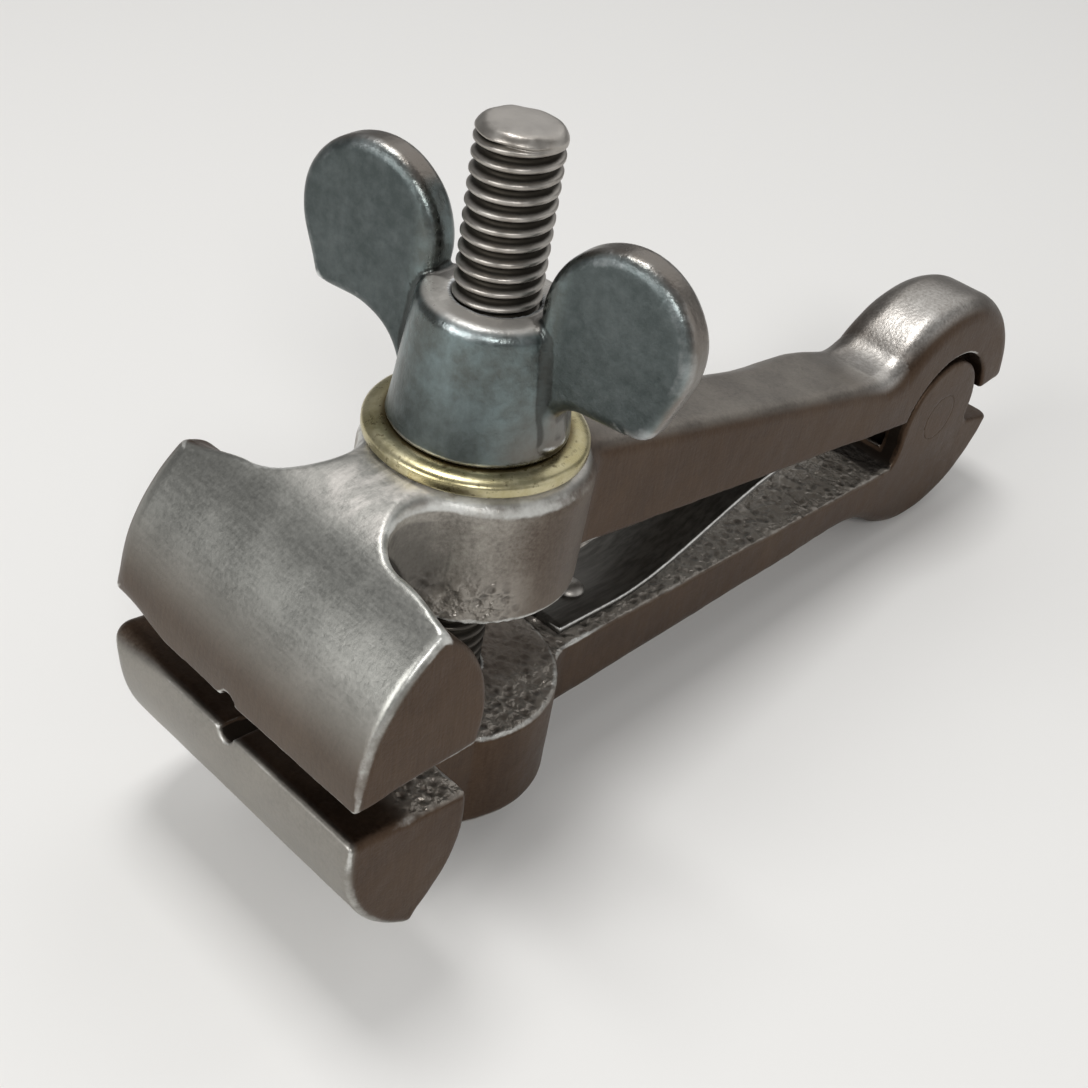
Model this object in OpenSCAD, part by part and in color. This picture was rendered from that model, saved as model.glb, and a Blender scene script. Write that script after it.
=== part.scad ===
// Hand vise: two forged legs on a rule joint, closed by a wing nut on a square-necked screw.
// Built closed, with the jaw lips and the hinge pin on the plane z = 0 and the screw on the Z axis,
// then opened to the resting gap and laid on the screw head and the round of the hinge.

/* [Jaws] */
// Width of both jaws along the hinge axis
jaw_width = 35.4; // [26:0.2:46]
// Reach of the jaw lips in front of the screw axis
jaw_reach = 27.2; // [24:0.2:34]
// Depth of a jaw bar from its lips to its back
jaw_depth = 15.2; // [13:0.1:18]
// Opening between the lips in the resting pose
jaw_gap = 3.7; // [1:0.1:8]
// Length of the flat lip that grips
lip_land = 1.6; // [0.6:0.1:4]
// Angle at which each jaw face falls away behind its lip
face_relief = 6.5; // [2:0.5:10]
// Radius of the rounded front of the upper jaw
upper_front_r = 17.1; // [14:0.1:18]
// Radius of the rounded front of the lower jaw
lower_front_r = 15.2; // [13:0.1:16.5]
// Radius of the rounded back of both jaws
jaw_back_r = 15; // [13:0.1:18]
// Distance of the middle of that rounded back from the lips
jaw_back_z = 3.5; // [2:0.1:5]
// Radius of the small groove across the middle of both lips
groove_r = 1; // [0.6:0.1:2]
// Rounding round the ends of both jaws
jaw_edge = 0.8; // [0.2:0.1:2]

/* [Bosses] */
// Height of the washer seat above the lips when the jaws are shut
seat_height = 19.5; // [18.5:0.1:24]
// Depth of the lower boss below the lips
lower_depth = 17.2; // [16.5:0.1:22]
// Radius of the upper boss round the screw
upper_boss_r = 11.8; // [10.8:0.1:14]
// Radius of the lower boss round the screw
lower_boss_r = 12.2; // [10.8:0.1:14]
// Free height from the lips to the inner face of the upper boss
upper_throat = 6; // [4:0.1:9]
// Free height from the lips to the inner face of the lower boss
lower_throat = 4.7; // [3.5:0.1:8]
// Radius of the scoops between the upper jaw and its boss
upper_scoop_r = 5.2; // [3:0.1:6]
// Distance of the upper scoops in front of the screw axis
upper_scoop_x = 13; // [12:0.1:14.5]
// Half width of the neck of the lower leg
lower_neck = 11; // [7:0.1:11.5]
// Radius of the fillets between the lower neck and its jaw
lower_neck_fillet = 3; // [1:0.1:4]
// Distance of those fillets in front of the screw axis
lower_neck_x = 13.5; // [12:0.1:14.5]
// Rounding round the bosses and along the necks
boss_edge = 0.7; // [0.2:0.1:1.5]

/* [Arms] */
// Width of both arms and of the hinge
arm_width = 12; // [10:0.2:15]
// Drop of the back of the upper arm below the washer seat where it leaves its boss
upper_drop = 0.7; // [0.3:0.1:4]
// Height of the back of the upper arm where it meets the knuckle
upper_tip = 9.4; // [7:0.1:12]
// Height of the underside of the upper arm at its boss
upper_inner_root = 6.2; // [5:0.1:9]
// Height of the underside of the upper arm at the hinge
upper_inner_tip = 1.5; // [1:0.1:3]
// Depth of the back of the lower arm where it leaves its boss
lower_root = 14.2; // [12:0.1:16]
// Depth of the back of the lower arm where it meets the hinge
lower_tip = 11.3; // [9:0.1:13]
// Depth of the inner face of the lower arm
lower_inner = 5; // [4:0.1:7]
// Radius of the fillet where the back of the upper arm runs into the hinge
upper_fillet = 6; // [2:0.2:10]
// Radius of the fillet where the back of the lower arm runs into the hinge
lower_fillet = 16; // [4:0.5:24]
// Radius of the fillets between the sides of the arms and their bosses
side_fillet = 4.5; // [1:0.1:6]
// Rounding along the backs of the arms and round the hinge
arm_edge = 2; // [0.4:0.1:2.4]

/* [Hinge] */
// Distance of the hinge pin behind the screw axis
hinge_x = 83; // [72:0.5:100]
// Radius of the round of the hinge
hinge_r = 16.6; // [15:0.1:19]
// Radius of the two ears of the lower leg
ear_r = 8.1; // [7.5:0.1:10]
// Thickness of each ear
ear_t = 3; // [2.4:0.1:3.8]
// Height of the hook end of the upper leg above the pin when the jaws are shut
hook_z = 1.7; // [1:0.1:3]
// Depth of the shelf of the lower leg below the pin
shelf_z = 3.3; // [3:0.1:5]
// Radius of the fillet between the ears and that shelf
shelf_fillet = 2; // [0.5:0.1:2.4]
// Diameter of the hinge pin
pin_d = 6; // [4:0.1:8]
// Travel of the upper leg from the resting pose to fully open
leg_travel = 7.9; // [5:0.1:9]

/* [Screw] */
// Diameter of the screw
screw_d = 7.94; // [6:0.01:8.4]
// Length of screw above the nut in the resting pose
screw_stub = 16; // [14:0.1:22]
// Bevel at the top of the screw
screw_bevel = 0.8; // [0.3:0.1:1.4]
// Width of the square neck under the screw head
neck_side = 8; // [7.5:0.1:10]
// Length of the square neck
neck_length = 7; // [4:0.1:10]
// Diameter of the screw head
head_d = 15; // [12:0.1:18]
// Thickness of the screw head
head_t = 3.5; // [3:0.1:6]
// Bevel round the screw head
head_bevel = 0.6; // [0.2:0.1:1.2]

/* [Washer and nut] */
// Diameter of the washer
washer_d = 21.3; // [18:0.1:21.5]
// Thickness of the washer
washer_t = 1.7; // [1:0.1:3]
// Bevel round the rim of the washer
washer_bevel = 0.4; // [0.1:0.05:0.5]
// Diameter of the nut at its foot
nut_foot_d = 17.2; // [14:0.1:18]
// Diameter of the nut at its top
nut_top_d = 14; // [12.5:0.1:16]
// Height of the nut
nut_height = 12.7; // [10:0.1:15]
// Bevel round the foot and the top of the nut
nut_bevel = 0.6; // [0.2:0.1:1]
// Radius of each wing
wing_r = 7.5; // [6:0.1:9]
// Distance of the middle of each wing from the screw axis
wing_reach = 13.2; // [12.5:0.1:15]
// Height of the middle of each wing above the foot of the nut
wing_rise = 14.4; // [13.6:0.1:17]
// Thickness of the wings
wing_t = 4; // [2.5:0.1:5]
// Rounding round the rims of the wings
wing_edge = 1.2; // [0.2:0.1:1.2]
// Height of the underside of each wing above the foot of the nut
wing_under = 7.4; // [6.9:0.1:9]
// Radius of the hollow under each wing
wing_hollow_r = 6.4; // [4:0.1:6.8]
// Distance of the middle of that hollow from the screw axis
wing_hollow_x = 14.7; // [12:0.1:15]
// How far the lower tip of each wing stands out past its middle
wing_tip = 5.4; // [4:0.1:6]
// Turn of the wings about the screw in the resting pose
wing_turn = -80; // [-180:1:180]

/* [Spring] */
// Width of the leaf spring
spring_width = 8.6; // [5:0.1:10]
// Thickness of the leaf spring
spring_t = 0.9; // [0.5:0.05:1.4]
// Distance behind the screw axis at which the spring leaves the lower arm
spring_rise_x = 21.6; // [21.2:0.1:30]
// Distance behind the screw axis of the spring's free end
spring_end_x = 53; // [46:0.5:60]
// Distance behind the screw axis of the spring's rivet
rivet_x = 19; // [18:0.1:19.4]
// Diameter of the rivet's shank
rivet_d = 2; // [1.4:0.1:2.6]
// Diameter of the rivet's head
rivet_head_d = 3.4; // [3:0.1:4.4]
// Height of the rivet's head
rivet_head_h = 1; // [0.5:0.1:1.4]

/* [Clearances] */
// Running clearance round the hinge pin and in the nut, on the radius
running_gap = 0.05; // [0.02:0.01:0.08]
// Clearance of the ears in their sockets and of the tongue in its slot
ear_gap = 0.8; // [0.2:0.05:1]
// Clearance on each side of the tongue
tongue_gap = 0.1; // [0.05:0.01:0.2]
// Clearance of the screw in the slot of the upper leg
slot_gap = 0.4; // [0.2:0.05:0.8]
// Clearance of the washer on the screw, on the radius
washer_gap = 0.3; // [0.1:0.05:0.6]
// Clearance of the screw and its neck in the lower leg
seat_fit = 0.05; // [0.02:0.01:0.1]
// Space left between faces that only touch
touch_gap = 0.02; // [0.01:0.01:0.05]

/* [Hidden] */
$fn = 96;
screw_r = screw_d / 2;
// How far a cut runs past the faces that it goes through
cut_over = 2;
// How far a fillet's round reaches into the faces that it joins, so that it meets them on a clean line
fillet_bite = 0.03;
// Opening of the legs in the resting pose and at the end of the travel
rest_open = asin(jaw_gap / (hinge_x + jaw_reach));
full_open = rest_open + leg_travel;
// Rise of the seat under the front of the washer as the legs open, taken as even over the travel
function seat_lift(a) = (hinge_x + washer_d / 2) * tan(a) + seat_height * (1 / cos(a) - 1);
washer_z = seat_height + touch_gap + seat_lift(full_open) * rest_open / full_open;
nut_z = washer_z + washer_t + touch_gap;
screw_top = nut_z + nut_height + screw_stub;
head_z = -lower_depth - head_t;
// Tilt that brings the rear of the screw head and the round of the hinge to one floor
foot_r = head_d / 2 - head_bevel;
foot_arm = hinge_x - foot_r;
rest_tilt = acos(hinge_r / norm([foot_arm, head_z])) - atan2(foot_arm, -head_z);
floor_z = -hinge_x * sin(rest_tilt) - hinge_r;
// Front and rear of the object at rest, for the middle of its footprint
upper_front = [upper_front_r - jaw_reach, seat_height - upper_front_r];
lower_front = [lower_front_r - jaw_reach, lower_front_r - lower_depth];
jaw_back = [jaw_depth - jaw_reach - jaw_back_r, jaw_back_z];
// Where the rounded front and back of a jaw meet in its crest
function crest_x(front, front_r) =
    let (run = norm(front - jaw_back),
         dir = (front - jaw_back) / run,
         foot = (jaw_back_r * jaw_back_r - front_r * front_r + run * run) / (2 * run))
    jaw_back[0] + foot * dir[0] - sqrt(jaw_back_r * jaw_back_r - foot * foot) * dir[1];
upper_crest_x = crest_x(upper_front, upper_front_r);
lower_crest_x = crest_x([lower_front[0], -lower_front[1]], lower_front_r);
function turned(p, a) = [p[0] * cos(a) + p[1] * sin(a), p[1] * cos(a) - p[0] * sin(a)];
function opened_at(p) = turned([p[0] - hinge_x, p[1]], rest_open) + [hinge_x, 0];
front_x = min(turned(opened_at(upper_front), rest_tilt)[0] - upper_front_r,
              turned(lower_front, rest_tilt)[0] - lower_front_r);
hook_angle = max(0, asin(hook_z / hinge_r) - rest_open - rest_tilt);
rear_x = hinge_x * cos(rest_tilt) + hinge_r * cos(hook_angle);
middle_x = (front_x + rear_x) / 2;
tongue_t = arm_width - 2 * ear_t - 2 * tongue_gap;
// Angles of the arms' backs, and where the upper arm's underside lies at rest over the spring
hinge_front = hinge_x - hinge_r;
upper_root = seat_height - upper_drop;
// Where an arm starts, a little inside the point at which its sides come out of the boss
arm_root_in = 1;
function arm_x(boss_r) = sqrt(pow(boss_r, 2) - pow(arm_width / 2, 2)) - arm_root_in;
upper_slope = atan2(upper_tip - upper_root, hinge_front - arm_x(upper_boss_r));
lower_slope = atan2(lower_tip - lower_root, hinge_front - arm_x(lower_boss_r));
function upper_inner(x) = upper_inner_root
    + (upper_inner_tip - upper_inner_root) * (x - upper_boss_r) / (hinge_x - ear_r - upper_boss_r);
spring_low = -lower_inner + spring_t / 2;
spring_high = opened_at([spring_end_x, upper_inner(spring_end_x)])[1] - spring_t / 2 - 3 * touch_gap;
// Height of the spring's middle line, flat on the arm and then easing up to the upper arm
function ease(t) = t * t * (3 - 2 * t);
function spring_z(x) = spring_low
    + (spring_high - spring_low) * ease(max(0, x - spring_rise_x) / (spring_end_x - spring_rise_x));
spring_start_x = lower_boss_r + 1;

module at_rest() {
    translate([-middle_x, 0, -floor_z]) rotate([0, rest_tilt, 0]) children();
}

module opened() {
    translate([hinge_x, 0, 0]) rotate([0, rest_open, 0]) translate([-hinge_x, 0, 0]) children();
}

// A side profile drawn in x and z, made as wide as w
module across(w) {
    rotate([90, 0, 0]) linear_extrude(w, center = true) children();
}

module both_sides() {
    children();
    mirror([0, 1, 0]) children();
}

// A drum across the vise, w wide, with both its rims rounded
module drum(r, w, edge) {
    rotate([90, 0, 0]) rotate_extrude() {
        translate([0, -w / 2]) square([r - edge, w]);
        translate([0, edge - w / 2]) square([r, w - 2 * edge]);
        for (s = [-1, 1]) translate([r - edge, s * (w / 2 - edge)]) circle(edge);
    }
}

// A round post from low to high with its upper rim rounded
module post(r, low, high, edge) {
    rotate_extrude() {
        translate([0, low]) square([r - edge, high - low]);
        translate([0, low]) square([r, high - low - edge]);
        translate([r - edge, high - edge]) circle(edge);
    }
}

// A round cut from low up through the face at high, with the rim that it leaves there rounded
module flared_cut(r, low, high, edge) {
    rotate_extrude() {
        translate([0, low]) square([r, high - low + cut_over]);
        difference() {
            translate([0, high - edge]) square([r + edge, edge + cut_over]);
            translate([r + edge, high - edge]) circle(edge);
        }
    }
}

// A cut that rounds an edge along X, with the edge on the X axis and the solid under it on the -Y side
module edge_cut(length, edge) {
    rotate([90, 0, 90]) linear_extrude(length) difference() {
        translate([-edge, -edge]) square(edge + cut_over);
        translate([-edge, -edge]) circle(edge);
    }
}

// The rounded front of a jaw, measured up from the closing plane
module jaw_front(front_r, rise) {
    translate([front_r - jaw_reach, 0, rise - front_r]) drum(front_r, jaw_width, jaw_edge);
}

// A jaw bar, with its lip on the closing plane and its face falling away behind it
module jaw(front_r, rise) {
    intersection() {
        jaw_front(front_r, rise);
        translate([jaw_back[0], 0, jaw_back[1]]) drum(jaw_back_r, jaw_width, jaw_edge);
        across(jaw_width) polygon([[-jaw_reach - 1, 0],
                                   [lip_land - jaw_reach, 0],
                                   [0, (jaw_reach - lip_land) * tan(face_relief)],
                                   [0, rise + 1],
                                   [-jaw_reach - 1, rise + 1]]);
    }
}

// The neck behind a jaw, of the plan given to it, rounded off over the jaw
module neck(front_r, rise, throat) {
    intersection() {
        union() {
            jaw_front(front_r, rise);
            across(jaw_width) translate([front_r - jaw_reach, 0]) square([jaw_reach - front_r, rise]);
        }
        translate([0, 0, throat]) linear_extrude(rise - throat) children();
    }
}

// The upper neck, with a scoop on each side running into the boss
module upper_neck() {
    scoop_y = sqrt(pow(upper_boss_r + upper_scoop_r - fillet_bite, 2) - pow(upper_scoop_x, 2));
    wall_x = -upper_scoop_x - upper_scoop_r;
    lip_x = lip_land - jaw_reach;
    half = jaw_width / 2;
    difference() {
        neck(upper_front_r, seat_height, upper_throat)
            polygon([[0, 0],
                     [-upper_scoop_x, scoop_y],
                     [wall_x, scoop_y],
                     [upper_crest_x, half],
                     [lip_x, half],
                     [lip_x, -half],
                     [upper_crest_x, -half],
                     [wall_x, -scoop_y],
                     [-upper_scoop_x, -scoop_y]]);
        both_sides() translate([-upper_scoop_x, scoop_y, 0])
            flared_cut(upper_scoop_r, 0, seat_height, boss_edge);
    }
}

// The lower neck, straight sided with a fillet against the jaw
module lower_neck_block() {
    reach = lower_neck + lower_neck_fillet;
    wall_x = -lower_neck_x - lower_neck_fillet;
    lip_x = lip_land - jaw_reach;
    half = jaw_width / 2;
    difference() {
        neck(lower_front_r, lower_depth, lower_throat) {
            translate([lip_x, -lower_neck]) square([-lip_x, 2 * lower_neck]);
            polygon([[-lower_neck_x, reach],
                     [wall_x, reach],
                     [lower_crest_x, half],
                     [lip_x, half],
                     [lip_x, -half],
                     [lower_crest_x, -half],
                     [wall_x, -reach],
                     [-lower_neck_x, -reach]]);
        }
        both_sides() {
            translate([-lower_neck_x, reach, 0])
                flared_cut(lower_neck_fillet, 0, lower_depth, boss_edge);
            translate([-lower_neck_x, lower_neck, lower_depth]) edge_cut(lower_neck_x + 1, boss_edge);
        }
    }
}

// Fillet between the back of an arm, a line through p at the angle a, and the round of the hinge
module knuckle_web(p, a, fillet) {
    out = [-sin(a), cos(a)];
    along = [cos(a), sin(a)];
    reach = fillet - fillet_bite;
    rise = (p - [hinge_x, 0]) * out + reach;
    centre = [hinge_x, 0] + out * rise - along * sqrt(pow(hinge_r + reach, 2) - rise * rise);
    difference() {
        across(arm_width) polygon([centre - out * fillet, centre, [hinge_x, 0]]);
        both_sides() translate([centre[0], 0, centre[1]]) rotate([-90, 0, 0])
            flared_cut(fillet, -1, arm_width / 2, arm_edge);
    }
}

// Side of an arm from its boss to the pin, with its back lowered by drop
module arm_side(boss_r, root, slope, inner_root, inner_tip, drop) {
    start = arm_x(boss_r);
    polygon([[0, root - drop],
             [start, root - drop],
             [hinge_x, root - drop + (hinge_x - start) * tan(slope)],
             [hinge_x, inner_tip],
             [hinge_x - ear_r, inner_tip],
             [boss_r, inner_root],
             [0, inner_root]]);
}

// Plan of the fillets between the sides of an arm and its boss
module side_webs(boss_r) {
    reach = side_fillet - fillet_bite;
    centre = [sqrt(pow(boss_r + reach, 2) - pow(arm_width / 2 + reach, 2)), arm_width / 2 + reach];
    difference() {
        polygon([[0, 0],
                 centre,
                 centre - [0, side_fillet],
                 [centre[0], -arm_width / 2],
                 [centre[0], -centre[1]]]);
        for (s = [-1, 1]) translate([centre[0], s * centre[1]]) circle(side_fillet);
    }
}

// An arm and its half of the hinge round, above its inner face and above the parting behind the pin
module arm(boss_r, root, slope, inner_root, inner_tip, parting, fillet) {
    start = arm_x(boss_r);
    difference() {
        across(arm_width) arm_side(boss_r, root, slope, inner_root, inner_tip, 0);
        both_sides() translate([start, arm_width / 2, root]) rotate([0, -slope, 0])
            edge_cut(hinge_x, arm_edge);
    }
    intersection() {
        across(2 * boss_r) arm_side(boss_r, root, slope, inner_root, inner_tip, arm_edge);
        linear_extrude(root) side_webs(boss_r);
    }
    knuckle_web([start, root], slope, fillet);
    intersection() {
        translate([hinge_x, 0, 0]) drum(hinge_r, arm_width, arm_edge);
        across(arm_width) {
            translate([hinge_x - hinge_r / 2, parting]) square([2 * hinge_r, hinge_r]);
            translate([hinge_x - hinge_r, inner_tip]) square(hinge_r);
        }
    }
}

// Fillet between an ear and the shelf behind it
module shelf_web() {
    reach = shelf_fillet - fillet_bite;
    rise = shelf_z - reach;
    centre = [hinge_x + sqrt(pow(ear_r + reach, 2) - rise * rise), rise];
    difference() {
        polygon([centre + [0, shelf_fillet], centre, [hinge_x, 0], [hinge_x, shelf_z]]);
        translate(centre) circle(shelf_fillet);
    }
}

// The space that the screw sweeps through the upper boss, from shut to fully open
module screw_sweep() {
    r = screw_r + slot_gap;
    low = upper_throat - cut_over;
    high = seat_height + cut_over;
    function axis_at(z) = hinge_x * (1 - 1 / cos(full_open)) - z * tan(full_open);
    translate([0, 0, low]) cylinder(r = r, h = high - low);
    translate([axis_at(0), 0, 0]) rotate([0, -full_open, 0])
        translate([0, 0, low - cut_over]) cylinder(r = r, h = high - low + 2 * cut_over);
    across(2 * r) polygon([[0, low], [0, high], [axis_at(high), high], [axis_at(low), low]]);
}

module groove() {
    translate([-jaw_reach - 1, 0, 0]) rotate([0, 90, 0]) cylinder(r = groove_r, h = jaw_depth + 2);
}

module hinge_round(r, w) {
    translate([hinge_x, 0, 0]) rotate([90, 0, 0]) cylinder(r = r, h = w, center = true);
}

module ears() {
    for (s = [-1, 1]) translate([0, s * (arm_width - ear_t) / 2, 0]) {
        hinge_round(ear_r, ear_t);
        across(ear_t) shelf_web();
    }
}

module upper_leg() {
    color("slategray") at_rest() opened() difference() {
        union() {
            jaw(upper_front_r, seat_height);
            upper_neck();
            post(upper_boss_r, upper_throat, seat_height, boss_edge);
            difference() {
                arm(upper_boss_r, upper_root, upper_slope, upper_inner_root, upper_inner_tip, hook_z,
                    upper_fillet);
                for (s = [-1, 1]) translate([0, s * (arm_width - ear_t) / 2, 0])
                    hinge_round(ear_r + ear_gap, ear_t + 2 * tongue_gap);
            }
            hinge_round(ear_r - ear_gap, tongue_t);
        }
        screw_sweep();
        groove();
        hinge_round(pin_d / 2 + running_gap, arm_width);
    }
}

module lower_leg() {
    color("dimgray") at_rest() difference() {
        mirror([0, 0, 1]) union() {
            jaw(lower_front_r, lower_depth);
            lower_neck_block();
            post(lower_boss_r, lower_throat, lower_depth, boss_edge);
            difference() {
                arm(lower_boss_r, lower_root, lower_slope, lower_inner, lower_inner, shelf_z, lower_fillet);
                hinge_round(ear_r, arm_width - 2 * ear_t);
            }
            ears();
        }
        groove();
        translate([0, 0, -lower_depth - 1]) cylinder(r = screw_r + seat_fit, h = lower_depth);
        translate([-neck_side / 2 - seat_fit, -neck_side / 2 - seat_fit, -lower_depth - 1])
            cube([neck_side + 2 * seat_fit, neck_side + 2 * seat_fit, neck_length + seat_fit + 1]);
        hinge_round(pin_d / 2, arm_width + 1);
        translate([rivet_x, 0, -lower_root - 1]) cylinder(d = rivet_d, h = lower_root);
    }
}

module hinge_pin() {
    color("silver") at_rest() hinge_round(pin_d / 2, arm_width);
}

module screw() {
    shank_z = head_z + head_bevel;
    color("lightsteelblue") at_rest() {
        translate([0, 0, shank_z]) cylinder(r = screw_r, h = screw_top - screw_bevel - shank_z);
        translate([0, 0, screw_top - screw_bevel])
            cylinder(r1 = screw_r, r2 = screw_r - screw_bevel, h = screw_bevel);
        translate([-neck_side / 2, -neck_side / 2, shank_z])
            cube([neck_side, neck_side, neck_length - lower_depth - shank_z]);
        translate([0, 0, shank_z]) cylinder(d = head_d, h = head_t - head_bevel);
        translate([0, 0, head_z]) cylinder(d1 = head_d - 2 * head_bevel, d2 = head_d, h = head_bevel);
    }
}

module washer() {
    bore = screw_r + washer_gap;
    rim = washer_d / 2;
    color("goldenrod") at_rest() translate([0, 0, washer_z]) rotate_extrude()
        polygon([[bore, 0],
                 [rim - washer_bevel, 0],
                 [rim, washer_bevel],
                 [rim, washer_t - washer_bevel],
                 [rim - washer_bevel, washer_t],
                 [bore, washer_t]]);
}

// Outline of the web of one wing from the screw axis out, with its lower tip
module wing_web() {
    square([wing_reach, wing_rise]);
    polygon([[wing_reach, wing_rise],
             [wing_reach + wing_r * cos(10), wing_rise - wing_r * sin(10)],
             [wing_reach + wing_tip, wing_under],
             [wing_reach, wing_under]]);
}

// What is cut away under one wing, round near the nut and straight out to the tip
module wing_hollow() {
    translate([wing_hollow_x, wing_under - wing_hollow_r]) circle(wing_hollow_r);
    translate([wing_hollow_x, wing_under - 2 * wing_hollow_r]) square([wing_reach + wing_r, 2 * wing_hollow_r]);
}

module wing_nut() {
    color("darkslategray") at_rest() translate([0, 0, nut_z]) rotate([0, 0, wing_turn]) difference() {
        union() {
            rotate_extrude() polygon([[0, 0],
                                      [nut_foot_d / 2 - nut_bevel, 0],
                                      [nut_foot_d / 2, nut_bevel],
                                      [nut_top_d / 2, nut_height - nut_bevel],
                                      [nut_top_d / 2 - nut_bevel, nut_height],
                                      [0, nut_height]]);
            difference() {
                for (s = [0, 180]) rotate([0, 0, s]) difference() {
                    union() {
                        translate([wing_reach, 0, wing_rise]) drum(wing_r, wing_t, wing_edge);
                        across(wing_t) wing_web();
                    }
                    across(wing_t + cut_over) wing_hollow();
                }
                translate([0, 0, nut_height]) cylinder(d = nut_top_d - 2 * screw_bevel, h = wing_rise + wing_r);
            }
        }
        translate([0, 0, -1]) cylinder(r = screw_r + running_gap, h = nut_height + 2);
    }
}

module leaf_spring() {
    steps = 24;
    xs = concat([spring_start_x],
                [for (i = [0 : steps]) spring_rise_x + (spring_end_x - spring_rise_x) * i / steps]);
    top = [for (x = xs) [x, spring_z(x) + spring_t / 2]];
    under = [for (i = [len(xs) - 1 : -1 : 0]) [xs[i], spring_z(xs[i]) - spring_t / 2]];
    color("midnightblue") at_rest() difference() {
        across(spring_width) polygon(concat(top, under));
        translate([rivet_x, 0, -lower_root]) cylinder(d = rivet_d, h = lower_root);
    }
}

module spring_rivet() {
    head_r = rivet_head_d / 2;
    dome_r = (head_r * head_r + rivet_head_h * rivet_head_h) / (2 * rivet_head_h);
    shank_z = -lower_root - (rivet_x - arm_x(lower_boss_r)) * tan(lower_slope);
    color("gainsboro") at_rest() translate([rivet_x, 0, 0]) {
        translate([0, 0, shank_z]) cylinder(d = rivet_d, h = -lower_inner + spring_t - shank_z);
        translate([0, 0, spring_t - lower_inner]) intersection() {
            translate([0, 0, rivet_head_h - dome_r]) sphere(dome_r);
            cylinder(r = dome_r + cut_over, h = rivet_head_h + cut_over);
        }
    }
}

lower_leg();
upper_leg();
hinge_pin();
screw();
washer();
wing_nut();
leaf_spring();
spring_rivet();
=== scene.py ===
import math

import bpy
import numpy as np
from mathutils import Matrix, Vector


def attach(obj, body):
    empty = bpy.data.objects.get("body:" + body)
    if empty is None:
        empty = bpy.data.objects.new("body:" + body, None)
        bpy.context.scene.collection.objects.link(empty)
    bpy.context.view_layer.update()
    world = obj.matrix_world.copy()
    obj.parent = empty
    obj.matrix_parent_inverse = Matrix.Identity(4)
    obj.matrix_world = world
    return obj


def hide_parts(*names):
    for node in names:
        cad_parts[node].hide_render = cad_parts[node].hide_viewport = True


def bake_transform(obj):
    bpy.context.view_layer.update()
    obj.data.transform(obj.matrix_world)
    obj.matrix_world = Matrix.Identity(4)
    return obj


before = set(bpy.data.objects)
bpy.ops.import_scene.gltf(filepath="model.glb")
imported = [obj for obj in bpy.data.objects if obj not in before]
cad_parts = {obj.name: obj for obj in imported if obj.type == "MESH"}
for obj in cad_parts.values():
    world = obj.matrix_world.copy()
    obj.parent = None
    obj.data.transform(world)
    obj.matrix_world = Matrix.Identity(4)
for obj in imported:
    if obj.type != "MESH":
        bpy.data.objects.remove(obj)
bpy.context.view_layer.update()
print("frame loaded, nodes:", ", ".join(sorted(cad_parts)))

# How the vise, drawn shut with its lips on z = 0, lies on the floor: degrees and millimetres
lying = {"tilt": 3.06605, "open": 1.92409, "middleX": 36.0947, "floorZ": -21.0394, "hingeX": 83.0}


# Cosine and sine of an angle in degrees
def cosSin(angle):
    return math.cos(math.radians(angle)), math.sin(math.radians(angle))


# Turned by the tilt about Y, moved to the middle of the footprint and up to the floor, in metres
def layDown(p):
    c, s = cosSin(lying["tilt"])
    x = p[:, 0] * c + p[:, 2] * s - lying["middleX"]
    z = p[:, 2] * c - p[:, 0] * s - lying["floorZ"]
    return np.stack([x, p[:, 1], z], 1) / 1000


# Turned by the resting opening about the hinge pin
def openUp(p):
    c, s = cosSin(lying["open"])
    x = p[:, 0] - lying["hingeX"]
    return np.stack([lying["hingeX"] + x * c + p[:, 2] * s, p[:, 1], p[:, 2] * c - x * s], 1)


# Two solids' overlap with the edge between them rounded to radius r
def roundMax(a, b, r):
    return np.minimum(-r, np.maximum(a, b)) + np.hypot(np.maximum(r + a, 0), np.maximum(r + b, 0))


# Two solids joined with a fillet of radius r in the corner between them
def roundMin(a, b, r):
    return np.maximum(r, np.minimum(a, b)) - np.hypot(np.maximum(r - a, 0), np.maximum(r - b, 0))


# 0 below low, 1 above high, and an even S between them
def easeStep(low, high, v):
    t = np.clip((v - low) / (high - low), 0, 1)
    return t * t * (3 - 2 * t)


# 1 from b to c, falling to 0 at a and at d by the same S
def between(a, b, c, d, v):
    return easeStep(a, b, v) * (1 - easeStep(c, d, v))


# 0 below nought, bending up over the length given, then rising one in one
def easeRamp(v, length):
    t = np.maximum(v, 0)
    return np.where(t < length, t * t / (2 * length), t - length / 2)


# Sum of plane waves with random directions and lengths round size, over the root of their number
def waves(p, size, seed, count=14):
    rng = np.random.default_rng(seed)
    way = rng.normal(size=(count, 3))
    way /= np.linalg.norm(way, axis=1)[:, None]
    k = way * (2 * math.pi / (size * rng.uniform(0.6, 1.6, count)))[:, None]
    return np.sin(p @ k.T + rng.uniform(0, 2 * math.pi, count)).sum(1) / math.sqrt(count)


# How far outside a triangle a point lies: the largest of its distances past the three sides
def outsideTriangle(u, v, a, b, c):
    if (b[0] - a[0]) * (c[1] - a[1]) < (b[1] - a[1]) * (c[0] - a[0]):
        b, c = c, b  # taken anticlockwise
    past = [((u - p[0]) * (q[1] - p[1]) - (v - p[1]) * (q[0] - p[0])) / math.dist(p, q)
            for p, q in ((a, b), (b, c), (c, a))]
    return np.maximum(np.maximum(past[0], past[1]), past[2])


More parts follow.
